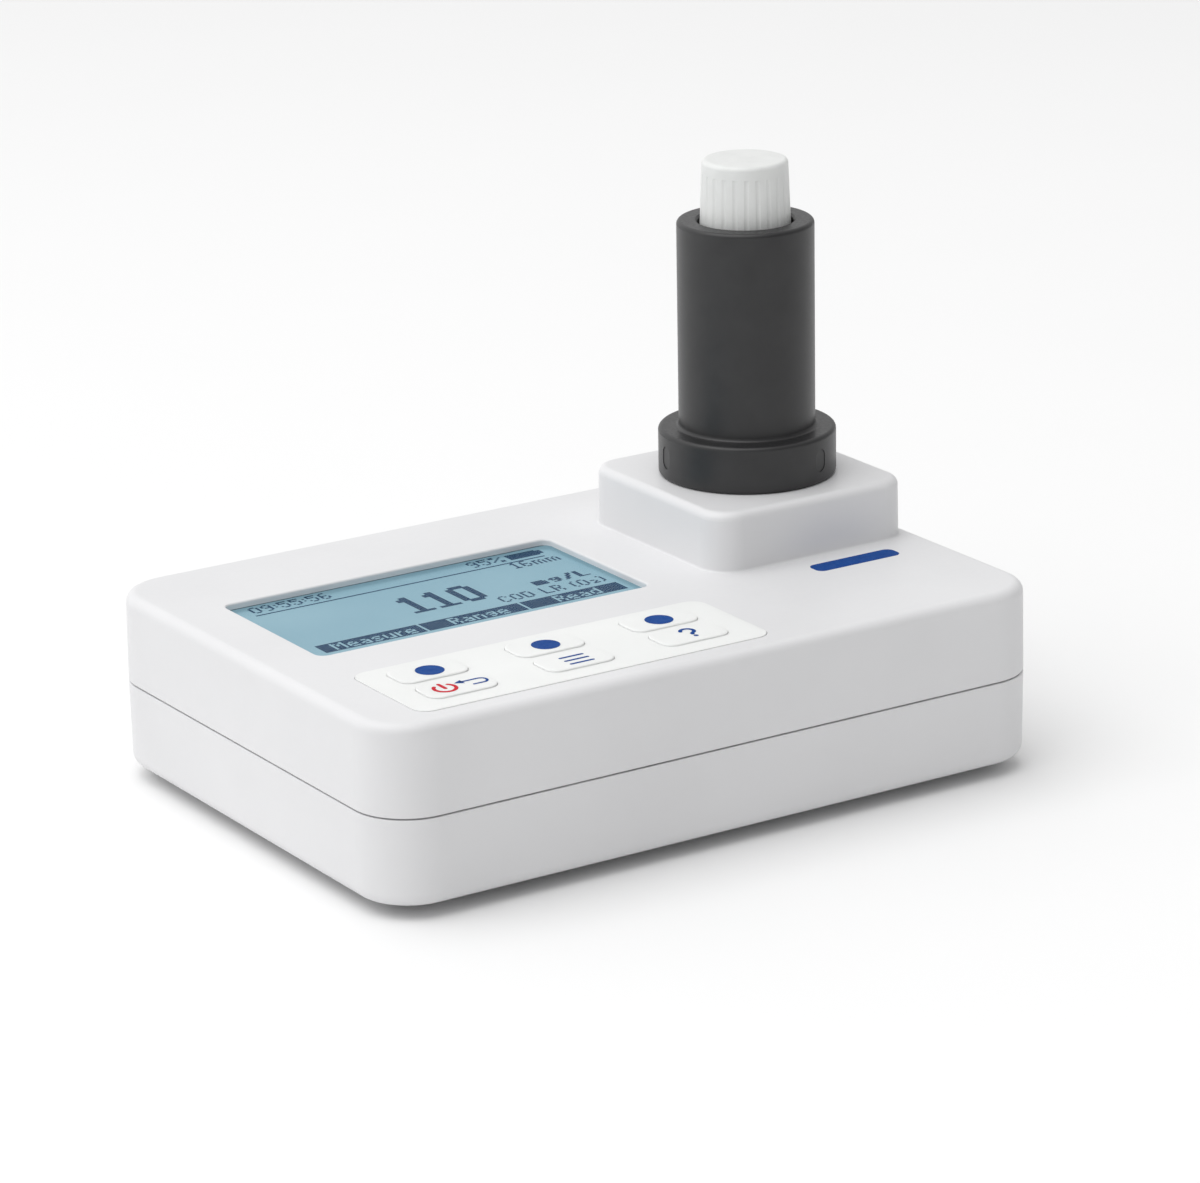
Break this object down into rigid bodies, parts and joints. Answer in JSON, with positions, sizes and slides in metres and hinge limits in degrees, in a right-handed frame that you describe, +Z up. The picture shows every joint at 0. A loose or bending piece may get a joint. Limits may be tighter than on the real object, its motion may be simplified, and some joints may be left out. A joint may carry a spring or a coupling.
{
  "type": "chemical oxygen demand photometer",
  "caption": "Portable bench photometer: low moulded case with display and keypad, raised cuvette block holding a black vial adapter with a capped glass vial.",
  "frame": {"origin": "centre of the footprint, on the plane of the rubber feet's undersides", "axes": "+X along the long side, from the display to the cuvette block; +Y to the back, away from the keypad; +Z up, along the cuvette well"},
  "size_m": [0.1424, 0.1024, 0.1088],
  "materials": {
    "housing_white": "fine satin moulded surface",
    "keypad_white": "smooth matt silicone",
    "adapter_black": "satin turned plastic",
    "cap_white": "slightly translucent satin",
    "liner_white": "soft matt",
    "vial_glass": "clear polished",
    "window_clear": "clear polished",
    "display_blue": "matt polariser",
    "frame_steel": "plain sheet",
    "light_panel": "milky diffuser",
    "seal_rubber": "soft matt",
    "feet_rubber": "soft matt",
    "screw_steel": "plated",
    "board_green": "solder mask",
    "part_black": "satin",
    "optic_black": "matt anti-reflection black",
    "lamp_lens": "clear dome",
    "optic_glass": "coated",
    "filter_glass": "interference coating",
    "splitter_glass": "partly reflecting",
    "detector_can": "plated can",
    "contact_metal": "nickel plated",
    "cell_wrap": "printed sleeve"
  },
  "bodies": {
    "housing": {"upper_housing": "housing_white", "lower_housing": "housing_white", "housing_seal": "seal_rubber", "rubber_feet": "feet_rubber", "housing_screws": "screw_steel", "display_window": "window_clear", "display_frame": "frame_steel", "display_glass": "display_blue", "display_backlight": "light_panel", "keypad_mat": "keypad_white", "key_switches": "part_black", "main_board": "board_green", "board_screws": "screw_steel", "buzzer": "part_black", "cuvette_holder": "optic_black", "light_source": "lamp_lens", "focusing_lens": "optic_glass", "interference_filter": "filter_glass", "beam_splitter": "splitter_glass", "reference_detector": "detector_can", "sample_detector": "detector_can", "contact_plates": "contact_metal", "contact_springs": "contact_metal", "battery_cell_left": "cell_wrap", "battery_cell_middle": "cell_wrap", "battery_cell_right": "cell_wrap"},
    "function_key_left": {"function_key_left": "keypad_white"},
    "function_key_middle": {"function_key_middle": "keypad_white"},
    "function_key_right": {"function_key_right": "keypad_white"},
    "power_key": {"power_key": "keypad_white"},
    "menu_key": {"menu_key": "keypad_white"},
    "help_key": {"help_key": "keypad_white"},
    "adapter": {"vial_adapter": "adapter_black"},
    "vial": {"vial": "vial_glass"},
    "cap_rise": {"cap_liner": "liner_white"},
    "cap": {"vial_cap": "cap_white"},
    "cover_drop": {"battery_cover_seal": "seal_rubber"},
    "cover": {"battery_cover": "housing_white"}
  },
  "joints": [
    {"name": "function_key_left_press", "type": "slide", "parent": "housing", "child": "function_key_left", "axis": [0, 0, -1], "range_m": [0, 0.0008], "stiffness_N_per_m": 400, "springref_m": -0.0005},
    {"name": "function_key_middle_press", "type": "slide", "parent": "housing", "child": "function_key_middle", "axis": [0, 0, -1], "range_m": [0, 0.0008], "stiffness_N_per_m": 400, "springref_m": -0.0005},
    {"name": "function_key_right_press", "type": "slide", "parent": "housing", "child": "function_key_right", "axis": [0, 0, -1], "range_m": [0, 0.0008], "stiffness_N_per_m": 400, "springref_m": -0.0005},
    {"name": "power_key_press", "type": "slide", "parent": "housing", "child": "power_key", "axis": [0, 0, -1], "range_m": [0, 0.0008], "stiffness_N_per_m": 400, "springref_m": -0.0005},
    {"name": "menu_key_press", "type": "slide", "parent": "housing", "child": "menu_key", "axis": [0, 0, -1], "range_m": [0, 0.0008], "stiffness_N_per_m": 400, "springref_m": -0.0005},
    {"name": "help_key_press", "type": "slide", "parent": "housing", "child": "help_key", "axis": [0, 0, -1], "range_m": [0, 0.0008], "stiffness_N_per_m": 400, "springref_m": -0.0005},
    {"name": "adapter_lift", "type": "slide", "parent": "housing", "child": "adapter", "axis": [0, 0, 1], "range_m": [0, 0.04]},
    {"name": "vial_lift", "type": "slide", "parent": "adapter", "child": "vial", "axis": [0, 0, 1], "range_m": [0, 0.088]},
    {"name": "cap_rise", "type": "slide", "parent": "vial", "child": "cap_rise", "axis": [0, 0, 1], "range_m": [0, 0.0075]},
    {"name": "cap_turn", "type": "hinge", "parent": "cap_rise", "child": "cap", "pos_m": [0.0465, 0.0106, 0], "axis": [0, 0, 1], "range_deg": [0, 905]},
    {"name": "cover_drop", "type": "slide", "parent": "housing", "child": "cover_drop", "axis": [0, 0, -1], "range_m": [0, 0.0045]},
    {"name": "cover_turn", "type": "hinge", "parent": "cover_drop", "child": "cover", "pos_m": [-0.025, 0, 0], "axis": [0, 0, -1], "range_deg": [0, 545]}
  ],
  "couplings": [
    {"joint": "cap_turn", "follows": "cap_rise", "rad_per_m": 2094.4},
    {"joint": "cover_turn", "follows": "cover_drop", "rad_per_m": 2094.4}
  ]
}
